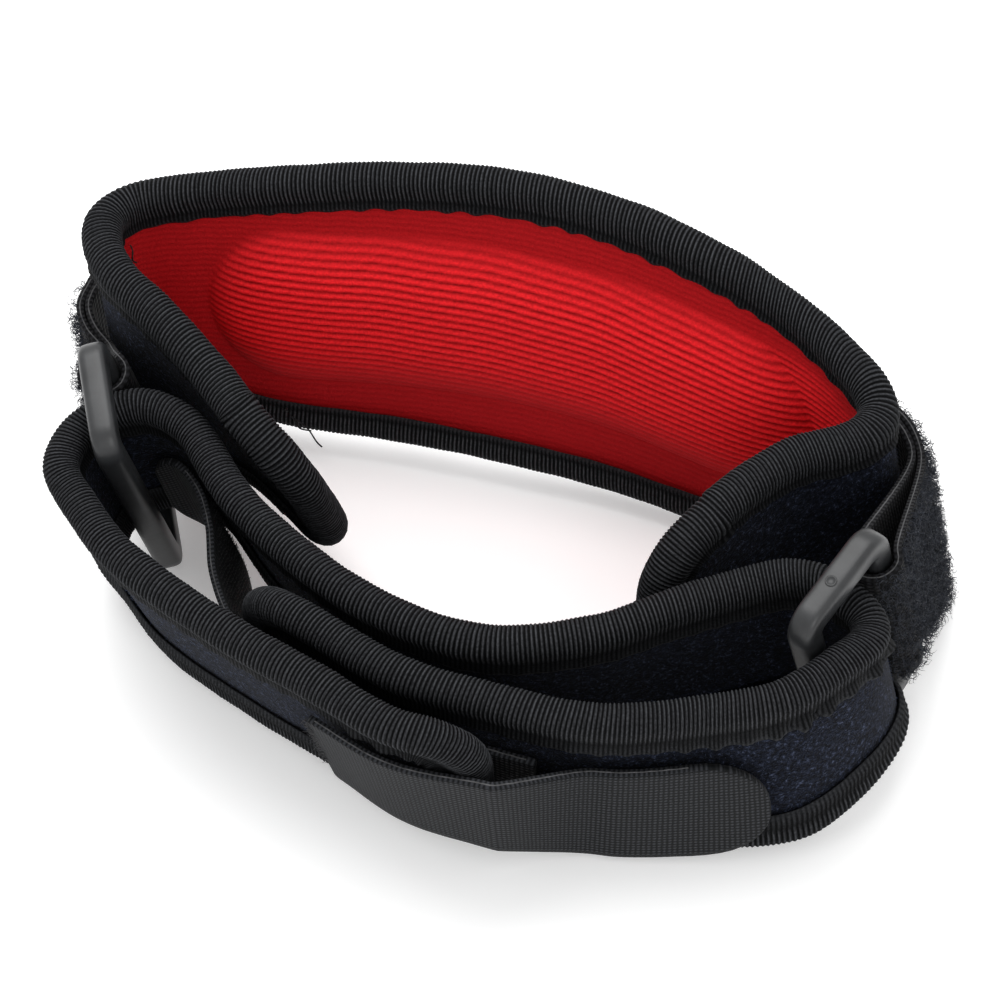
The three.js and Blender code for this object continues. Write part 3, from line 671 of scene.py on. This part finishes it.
def pad_share(s):
    """How far along the pad a place is, from -1 at its left end to 1 at its right."""
    return (s - back.station("middle")) / (PAD_LENGTH / 2)


def pad_distance(s, a, right_stretch=1.0):
    """0 at the pad's middle line and 1 at its rim, which may be stretched to the right."""
    along = pad_share(s)
    along = np.where(along > 0, along / right_stretch, along)
    across = a / (PAD_WIDTH / 2)
    straight = np.clip((np.abs(along) - PAD_STRAIGHT) / (1 - PAD_STRAIGHT), 0, None)
    return np.hypot(np.abs(across), straight)


def cord_phase(s, a):
    """The phase of the cords across the pad: they bend, and lie closer together at its ends."""
    along = pad_share(s)
    drift = -1.1 * (along - 1) ** 2 + 0.10 * np.sin(s / 3.1) + 0.05 * np.sin(s * 1.7 + a * 2)
    return 2 * math.pi * (a * (1 + 0.10 * along**2) + drift) / RIB_PITCH


def lining():
    """The lining and the pad as one knit cloth, with cords along the pad."""
    s, a = sheet_grid(back, EDGE_ROOM, (BACK_CORNER - EDGE_ROOM,) * 2, LINING_STEP, LINING_COLUMNS)
    swell = (1 - np.clip(pad_distance(s, a), 0, 1) ** 2.4) ** 0.8
    ribbed = pad_distance(s, a, CORDS_RIGHT)
    rim = smoothstep(1.06, 0.90, ribbed)
    fade = rim * (0.25 + 0.75 * smoothstep(-15, -3, a)) * (0.6 + 0.4 * smoothstep(1.0, 0.5, ribbed))
    phase = cord_phase(s, a)
    cord = np.abs(np.cos(phase / 2)) ** 0.7
    offset = 2 * np.floor(phase / (2 * math.pi))
    twist = 0.5 + 0.5 * np.sin(2 * math.pi * (s + 0.6 * a) / CORD_TWIST + offset)
    inside = smoothstep(0, 3, back.half(s) - EDGE_ROOM - np.abs(a))
    knit = KNIT_HEIGHT * np.cos(2 * math.pi * a / KNIT_PITCH + 0.5 * np.sin(s)) * (1 - rim) * inside
    h = LINING_TOP + PAD_HEIGHT * swell + CORD_HEIGHT * (cord - 0.5) * fade * inside + knit
    upper = back.point(s, a, h)
    lower = back.point(s[:, [-1, 0]], a[:, [-1, 0]], LINING_LOW)
    # painted highlights on the cords' crests and the knit's ridges, painted shade in the grooves, and the
    # twist of the yarn
    shade_tone = 0.34 + fade * (0.72 * cord**2 - 0.20 + 0.13 * twist) + 1.2 * knit
    # painted shade: the lining is darker towards its lower edge
    shade_tone = shade_tone * (0.68 + 0.32 * smoothstep(-24, -4, a))
    shade_tone = np.clip(np.concatenate([shade_tone, np.full((len(s), 2), 0.3)], 1), 0, 1)
    faces = grid_faces(len(s), LINING_COLUMNS + 2, loop_columns=True)
    obj = add_object("red_rib_lining", np.concatenate([upper, lower], 1), faces, None, shade_tone)
    return dress(obj, RED, "red_knit", "red_lining", "pressure_pad")


red_cloth = lining()


# The hook tabs and the tapes, along nodes of their own

NODE_STEP = 4.0
STRIP_STEP = 0.8
STRIP_COLUMNS = 22
SEWN_CORNER = 1.0
LEFT_TAPE_WIDTH = 30
LEFT_TAPE_DROP = 9.5
RIGHT_TAPE_WIDTH = 34
RIGHT_TAPE_DROP = 7
# Each ring's heading in plan, from the bar in its tape to the bar in the strap's fold, in degrees
LEFT_RING_HEADING = -81
RIGHT_RING_HEADING = -130


def nodes_on(band, start, stop, drop, h, width):
    """Nodes along a stretch of another band, so far below its middle and off its face."""
    count = max(int(abs(stop - start) / NODE_STEP), 2)
    return [
        {"mid": band.point(s, -drop, h), "up": band.up(s), "width": width, "at": ""}
        for s in np.linspace(start, stop, count + 1)
    ]


def left_tab_nodes():
    """The left tab starts on the strap's left end and runs on over its outer layer."""
    on_end = nodes_on(strap, strap.station("left end", 2), 0.0, LEFT_TAB_DROP, STRAP_OUTSIDE, TAB_WIDTH)
    on_strap = nodes_on(strap, strap.station("outer middle"), strap.station("outer right", 0.3),
                        RIGHT_TAB_DROP, STRAP_OUTSIDE, TAB_WIDTH)
    beyond = dict(on_end[-1], mid=on_end[-1]["mid"] - strap.along(0.0) * BINDING_WALL)
    return [*on_end, beyond, *on_strap]


def right_tab_nodes():
    """The right tab lies on the strap up to its right end, and goes on free to the inner layer."""
    fused = nodes_on(strap, strap.station("outer middle", 0.4), strap.station("right end"),
                     RIGHT_TAB_DROP, STRAP_OUTSIDE, TAB_WIDTH)
    start, stop = strap.station("inner bend", 1), strap.station("inner left", -0.2)
    for along, off in FREE_TAB:
        s = start + (stop - start) * along
        fused.append({"mid": strap.point(s, -RIGHT_TAB_DROP, off * LAYER_PITCH),
                      "up": strap.up(s), "width": TAB_WIDTH, "at": ""})
    return fused


def strip_object(name, nodes, thickness, corner, material, slot, node):
    """A tab or a tape on a band of its own, with corners of its own at its free end."""
    band = Band(nodes)
    obj = sheet_object(name, band, -thickness / 2, thickness / 2, 0.0,
                       (SEWN_CORNER, corner), STRIP_STEP, STRIP_COLUMNS)
    return band, dress(obj, material, slot, node)


left_tab_band, left_tab = strip_object(
    "left_tab_weave", left_tab_nodes(), TAB_THICKNESS, LEFT_TAB_CORNER,
    WEAVE, "hook_tape", "left_hook_tab")
right_tab_band, right_tab = strip_object(
    "right_tab_weave", right_tab_nodes(), TAB_THICKNESS, RIGHT_TAB_CORNER,
    WEAVE, "hook_tape", "right_hook_tab")


def ring_place(row, heading):
    """Where a ring stands: its centre, its own directions and the bar that its tape holds."""
    s = strap.station(row)
    origin, up = strap.point(s, 0.0, 0.0), strap.up(s)
    angle = math.radians(heading)
    across = np.array([math.cos(angle), math.sin(angle), 0.0])
    across = unit(across - up * across.dot(up))
    centre = origin + across * RING_SPAN * (0.5 - RING_CROSSING)
    centre = centre + up * (-STRAP_WIDTH / 2 - CLEARANCE + RING_OPENING / 2)
    held = centre - across * (RING_SPAN - RING_BAR) / 2
    return {"centre": centre, "across": across, "up": up, "held": held}


def tape_nodes(ring, seam, leaving, drop, width):
    """A tape's nodes: from its seam to the ring, round the bar, and back over itself."""
    layer = -(BACK_BOUND / 2 + CLEARANCE + TAPE_THICKNESS / 2)
    inside = nodes_on(back, seam, leaving, drop, layer, width)
    outside = nodes_on(back, seam, leaving, drop, layer - TAPE_THICKNESS - CLEARANCE, width)[::-1]
    last = inside[-1]["mid"]
    up = ring["up"]
    towards = last - ring["held"]
    towards = unit(towards - up * towards.dot(up))
    sideways = outside[0]["mid"] - last
    sideways = sideways - up * sideways.dot(up)
    sideways = unit(sideways - towards * sideways.dot(towards))
    bar = math.hypot(RING_BAR, RING_THICKNESS) / 2 - RING_BEVEL / 4
    radius = bar + CLEARANCE + TAPE_THICKNESS / 2
    turns = [
        {"mid": ring["held"] - towards * math.cos(t) * radius + sideways * math.sin(t) * radius,
         "up": up, "width": width, "at": ""}
        for t in TAPE_TURNS
    ]
    return [*inside, *turns, *outside]


left_ring = ring_place("left ring", LEFT_RING_HEADING)
right_ring = ring_place("right ring", RIGHT_RING_HEADING)
left_tape_band, left_tape = strip_object(
    "left_keeper_cloth",
    tape_nodes(left_ring, back.station("left back", -1.8), back.station("left root", 0.2),
               LEFT_TAPE_DROP, LEFT_TAPE_WIDTH),
    TAPE_THICKNESS, SEWN_CORNER, TAPE, "dark_pile", "left_keeper_tape")
right_tape_band, right_tape = strip_object(
    "right_keeper_cloth",
    tape_nodes(right_ring, back.station("right back", 0.5), back.station("right corner", 0.9),
               RIGHT_TAPE_DROP, RIGHT_TAPE_WIDTH),
    TAPE_THICKNESS, SEWN_CORNER, TAPE, "dark_pile", "right_keeper_tape")


def declare_sheet(band, margin):
    """Each band is cut flat; this works out its widths along its length, inside the margin, and does
    nothing more with them.
    """
    s = np.linspace(margin, band.length - margin, 400)
    widths = 2 * (band.half(s) - margin)


declare_sheet(strap, EDGE_ROOM)
declare_sheet(back, EDGE_ROOM)
declare_sheet(left_tab_band, 0.0)
declare_sheet(right_tab_band, 0.0)
declare_sheet(left_tape_band, 0.0)
declare_sheet(right_tape_band, 0.0)


# The rings

RING_CORNER_SAMPLES = 9
RING_SIDES = 28
# Below 1 the bar's section is squarer than an ellipse
BAR_ROUNDNESS = 0.55
PARTING_WIDTH = 0.18
PARTING_HEIGHT = 0.12


def ring_path():
    """The middle line of the ring's bars, flat, and the direction outward at each point."""
    width, height = RING_SPAN - RING_BAR, RING_HEIGHT - RING_BAR
    radius = RING_CORNER - RING_BAR / 2
    quarter = np.linspace(0, math.pi / 2, RING_CORNER_SAMPLES)
    path, outward = [], []
    for sx, sy, start in ((1, -1, -math.pi / 2), (1, 1, 0), (-1, 1, math.pi / 2), (-1, -1, math.pi)):
        corner = np.array([sx * (width / 2 - radius), sy * (height / 2 - radius)])
        for t in quarter + start:
            direction = np.array([math.cos(t), math.sin(t)])
            path.append(corner + direction * radius)
            outward.append(direction)
    return np.array(path), np.array(outward)


def ring_object(name, place, node):
    """A moulded ring with a round section and a faint parting line round its middle."""
    path, outward = ring_path()
    turn = np.linspace(0, 2 * math.pi, RING_SIDES, endpoint=False) + math.pi / RING_SIDES
    out = np.sign(np.cos(turn)) * np.abs(np.cos(turn)) ** BAR_ROUNDNESS * RING_BAR / 2
    thick = np.sign(np.sin(turn)) * np.abs(np.sin(turn)) ** BAR_ROUNDNESS * RING_THICKNESS / 2
    out = out + np.exp(-((thick / PARTING_WIDTH) ** 2)) * PARTING_HEIGHT * np.sign(np.cos(turn))
    through = np.cross(place["across"], place["up"])
    flat = path[:, None, :] + outward[:, None, :] * out[None, :, None]
    points = (place["centre"] + flat[..., :1] * place["across"] + flat[..., 1:] * place["up"]
              + thick[None, :, None] * through)
    obj = add_object(name, points, grid_faces(len(path), RING_SIDES, True, True))
    return dress(obj, PLASTIC, "grey_plastic", node)


ring_object("left_moulded_ring", left_ring, "left_ring")
ring_object("right_moulded_ring", right_ring, "right_ring")


# Fibres: short tapering blades or curls on the cloth

# Each kind's length, width and coil radius, and how far round it curls in radians
PILE_SIZES = (1.9, 0.17, 0.56, 6.2)
FUZZ_SIZES = (0.35, 0.06, 0.12, 1.6)
HOOK_SIZES = (0.45, 0.26, 0.28, 3.0)
FRAY_SIZES = (0.9, 0.14, 0.22, 3.0)
# The least and the most of a fibre's length and coil, as shares of those sizes
LENGTH_SPREAD = (0.6, 1.4)
COIL_SPREAD = (0.6, 1.3)
FIBRE_TAPER = 0.6
FIBRE_LEAN = 0.9
HOOK_PITCH = 1.3
HOOK_MARGIN = 2.5
FRAY_LEAN = 0.35


def fibres(name, roots, directions, sides, sizes, material, slot, bend=None):
    """Many small tapering fibres in one mesh, each from a root along a direction.

    bend is where round its coil each starts, and is random if it isn't given.
    """
    length, width, coil, turns = sizes
    count = len(roots)
    segments = max(2, round(turns))
    t = np.linspace(0, 1, segments + 1)[None, :, None]
    lengths = length * rng.uniform(*LENGTH_SPREAD, count)[:, None, None]
    start = rng.uniform(0, 2 * math.pi, count)[:, None, None] if bend is None else bend
    reach = coil * rng.uniform(*COIL_SPREAD, count)[:, None, None]
    third = np.cross(directions, sides)[:, None, :]
    sides = sides[:, None, :]
    line = roots[:, None, :] + directions[:, None, :] * lengths * t
    line = line + sides * reach * (np.cos(turns * t + start) - np.cos(start))
    line = line + third * reach * (np.sin(turns * t + start) - np.sin(start))
    thin = sides * width * (1 - FIBRE_TAPER * t) / 2
    deep = third * width * (1 - FIBRE_TAPER * t) / 2
    corners = np.stack([line + thin, line - thin * 0.5 + deep, line - thin * 0.5 - deep], 2)
    one = grid_faces(segments + 1, 3, loop_columns=True)
    stride = (segments + 1) * 3
    faces = (one[None] + (np.arange(count) * stride)[:, None, None]).reshape(-1, 4)
    return dress(add_object(name, corners, faces), material, slot)


def scattered(band, count, low_s, high_s, reach, h, side):
    """Roots, outward directions and side directions on one face of a band."""
    s = rng.uniform(low_s, high_s, count)
    a = rng.uniform(-1, 1, count) * reach
    normal = band.off(s) * side
    lean = rng.normal(0, 1, (count, 3))
    direction = unit(normal + FIBRE_LEAN * unit(lean))
    sideways = unit(np.cross(direction, rng.normal(0, 1, (count, 3))))
    return band.point(s, a, h), direction, sideways


def hooks(band, start, stop):
    """Rows of small nylon hooks on a tab's inner face."""
    rows = np.arange(start, stop, HOOK_PITCH)
    columns = np.arange(-TAB_WIDTH / 2 + HOOK_MARGIN, TAB_WIDTH / 2 - HOOK_MARGIN + 0.1, HOOK_PITCH)
    s, a = (v.ravel() for v in np.meshgrid(rows, columns))
    s = s + rng.normal(0, 0.1, len(s))
    return band.point(s, a, TAB_THICKNESS / 2), band.off(s), band.along(s)


def fray(band, count):
    """Loose yarn ends along a tab's sewn end."""
    s = rng.uniform(0.0, 0.6, count)
    a = rng.uniform(-0.2, 0.48, count) * TAB_WIDTH
    direction = unit(-band.along(s) + FRAY_LEAN * rng.normal(0, 1, (count, 3)))
    sideways = unit(np.cross(direction, band.up(s)))
    return band.point(s, a, TAB_THICKNESS / 2), direction, sideways


LEFT_CURLS = 2400
RIGHT_CURLS = 5200
STRAP_FUZZ_A_SIDE = 4000
BACK_FUZZ = 3000
FRAY_ENDS = 200

# The curls cover the half of each tape that lies outside, on one side of its cloth
pile_sites = []
for band, count, side in ((left_tape_band, LEFT_CURLS, -1), (right_tape_band, RIGHT_CURLS, 1)):
    pile_sites.append(scattered(band, count, band.length * 0.5, band.length - 1,
                                band.half(0.0) - 0.4, side * TAPE_THICKNESS / 2, side))
for name, site in zip(("left", "right"), pile_sites):
    fibres(f"{name}_keeper_pile", *site, PILE_SIZES, PILE, "dark_pile")

# The fuzz lies between the bindings, on both sides of the strap and outside on the back piece
fuzz_sites = []
for h, side in ((STRAP_THICKNESS / 2, 1), (-STRAP_THICKNESS / 2, -1)):
    fuzz_sites.append(scattered(strap, STRAP_FUZZ_A_SIDE, 12, strap.length - 12, 10.2, h, side))
strap_site = [np.concatenate(parts) for parts in zip(*fuzz_sites)]
fibres("strap_fuzz", *strap_site, FUZZ_SIZES, FUZZ, "navy_fabric")
back_site = scattered(back, BACK_FUZZ, 8, back.length - 8, 14, SHELL_LOW, -1)
fibres("back_fuzz", *back_site, FUZZ_SIZES, FUZZ, "navy_fabric")

# The hooks start almost a third of the way along the right tab and end short of its tip
hook_site = hooks(right_tab_band, right_tab_band.length * 0.30, right_tab_band.length - 3)
fibres("right_tab_hooks", *hook_site, HOOK_SIZES, HOOK, "hook_tape", math.pi)
fibres("left_tab_fray", *fray(left_tab_band, FRAY_ENDS), FRAY_SIZES, HOOK, "hook_tape")


# Thin pale edges, threads and the ring's gate mark

EDGE_MARGIN = 1.5
EDGE_STEP = 0.8
EDGE_RADIUS = 0.12
THREAD_RADIUS = 0.17
THREAD_CURL = 0.6
THREAD_SAMPLES = 24
MARK_SIDES = 24
MARK_SINK = 0.05
# The mark's section: radius and height of each row
MARK_ROWS = [(0.95, 0.0), (0.95, 0.16), (0.72, 0.20), (0.62, 0.08), (0.05, 0.07)]
# The loose thread ends: name, root, reach and seed of the curl
LOOSE_THREADS = [
    ("loose_thread_long", (-37.0, 40.9, 8.8), (5.6, -1.6, -4.4), 0.3),
    ("loose_thread_short", (-37.4, 40.9, 9.2), (3.6, -2.4, -3.2), 2.1),
    ("loose_thread_curl", (-38.0, 41.2, 10.2), (-1.2, -1.5, 2.6), 4.0),
    ("corner_thread", (-63.6, 48.2, 44.2), (1.6, -1.2, -2.2), 1.2),
]


def tube(name, path, radius, material, slot, sides=5):
    """A thin tube along a path of points."""
    path = np.asarray(path, float)
    along = unit(np.gradient(path, axis=0))
    side = unit(np.cross(along, [0.3, 0.2, 0.93]))
    other = np.cross(along, side)
    turn = np.linspace(0, 2 * math.pi, sides, endpoint=False)[None, :, None]
    points = path[:, None] + radius * (side[:, None] * np.cos(turn) + other[:, None] * np.sin(turn))
    obj = add_object(name, points, grid_faces(len(path), sides, loop_columns=True))
    return dress(obj, material, slot)


def edge_line(name, band, end, slot):
    """A thin pale line along a strip's upper edge, as far as end before its free end."""
    s = np.arange(EDGE_MARGIN, band.length - end, EDGE_STEP)
    wander = 0.05 * np.sin(s * 2.1) + 0.04 * np.sin(s * 5.3)
    tube(name, band.point(s, band.half(s) + wander, 0), EDGE_RADIUS, EDGE, slot)


def gate_mark(place):
    """The small round mark that moulding leaves on top of the ring's upper bar."""
    through = np.cross(place["across"], place["up"])
    centre = place["centre"] + place["up"] * (RING_HEIGHT / 2 - MARK_SINK) + place["across"]
    turn = np.linspace(0, 2 * math.pi, MARK_SIDES, endpoint=False)[:, None]
    circle = place["across"] * np.cos(turn) + through * np.sin(turn)
    points = np.stack([centre + circle * r + place["up"] * h for r, h in MARK_ROWS], 1)
    mark = add_object("right_ring_mark", points, grid_faces(MARK_SIDES, len(MARK_ROWS), True))
    dress(mark, PLASTIC, "grey_plastic")


def thread(name, root, reach, seed):
    """A loose thread end that hangs from its root in a small curl."""
    t = np.linspace(0, 1, THREAD_SAMPLES)[:, None]
    curl = np.concatenate([np.sin(t * 5 + seed), np.cos(t * 4 + seed), np.sin(t * 3 + 2 * seed)], 1)
    curl = (curl - curl[0]) * THREAD_CURL * t
    tube(name, np.asarray(root) + np.asarray(reach) * t + curl, THREAD_RADIUS, THREAD, "black_knit", 4)


for name, band, end, slot in (
    ("left_tab_edge", left_tab_band, LEFT_TAB_CORNER, "hook_tape"),
    ("right_tab_edge", right_tab_band, RIGHT_TAB_CORNER, "hook_tape"),
    ("right_tape_edge", right_tape_band, EDGE_MARGIN, "dark_pile"),
    ("left_tape_edge", left_tape_band, EDGE_MARGIN, "dark_pile"),
):
    edge_line(name, band, end, slot)
gate_mark(right_ring)
for row in LOOSE_THREADS:
    thread(*row)


# Floor, light and camera, in metres unless a name or a comment says otherwise

FLOOR_SIZE = 6
FLOOR_GLOW = 0.25
WORLD_STRENGTH = 0.92
LIGHT_TARGET = (0, 0, 0.02)
# The area lights: name, place, size and power in watts
LIGHTS = [
    ("key", (-0.12, 0.30, 0.80), 0.80, 5),
    ("fill", (0.20, -0.75, 0.60), 0.45, 1.5),
]
# The camera looks at its target from this far, in millimetres
CAMERA_DISTANCE = 480
CAMERA_TARGET = np.array([0, 11, 20])
CAMERA_ELEVATION = math.radians(48)
CAMERA_LENS = 101.95
CAMERA_SENSOR = 36


def area_light(name, place, size, power):
    """A round area light that faces the target."""
    data = bpy.data.lights.new(name, "AREA")
    data.shape = "DISK"
    data.size = size
    data.energy = power
    light = bpy.data.objects.new(name, data)
    light.location = place
    direction = Vector(LIGHT_TARGET) - Vector(place)
    light.rotation_mode = "QUATERNION"
    light.rotation_quaternion = direction.to_track_quat("-Z", "Y")
    bpy.context.scene.collection.objects.link(light)


bpy.ops.mesh.primitive_plane_add(size=FLOOR_SIZE, location=(0, 0, 0))
floor = bpy.context.object
floor.name = "floor"
paper = mottled("white_floor", (0.92, 0.92, 0.92), 0.9, 0.0, 30.0, 0.01, 0.0001)
glow = paper.node_tree.nodes["Principled BSDF"]
glow.inputs["Emission Color"].default_value = (1, 1, 1, 1)
glow.inputs["Emission Strength"].default_value = FLOOR_GLOW
floor.data.materials.append(paper)

world = bpy.data.worlds.new("studio")
bpy.context.scene.world = world
world.use_nodes = True
world.node_tree.nodes["Background"].inputs["Color"].default_value = (1, 1, 1, 1)
world.node_tree.nodes["Background"].inputs["Strength"].default_value = WORLD_STRENGTH
bpy.context.scene.view_settings.view_transform = "Standard"
for row in LIGHTS:
    area_light(*row)

forward = np.array([0, math.cos(CAMERA_ELEVATION), -math.sin(CAMERA_ELEVATION)])
camera_data = bpy.data.cameras.new("camera")
camera_data.sensor_width = CAMERA_SENSOR
camera_data.lens = CAMERA_LENS
camera = bpy.data.objects.new("camera", camera_data)
bpy.context.scene.collection.objects.link(camera)
camera.location = Vector((CAMERA_TARGET + SHIFT - forward * CAMERA_DISTANCE) * MM)
camera.rotation_mode = "QUATERNION"
camera.rotation_quaternion = Vector(forward).to_track_quat("-Z", "Y")
bpy.context.scene.camera = camera
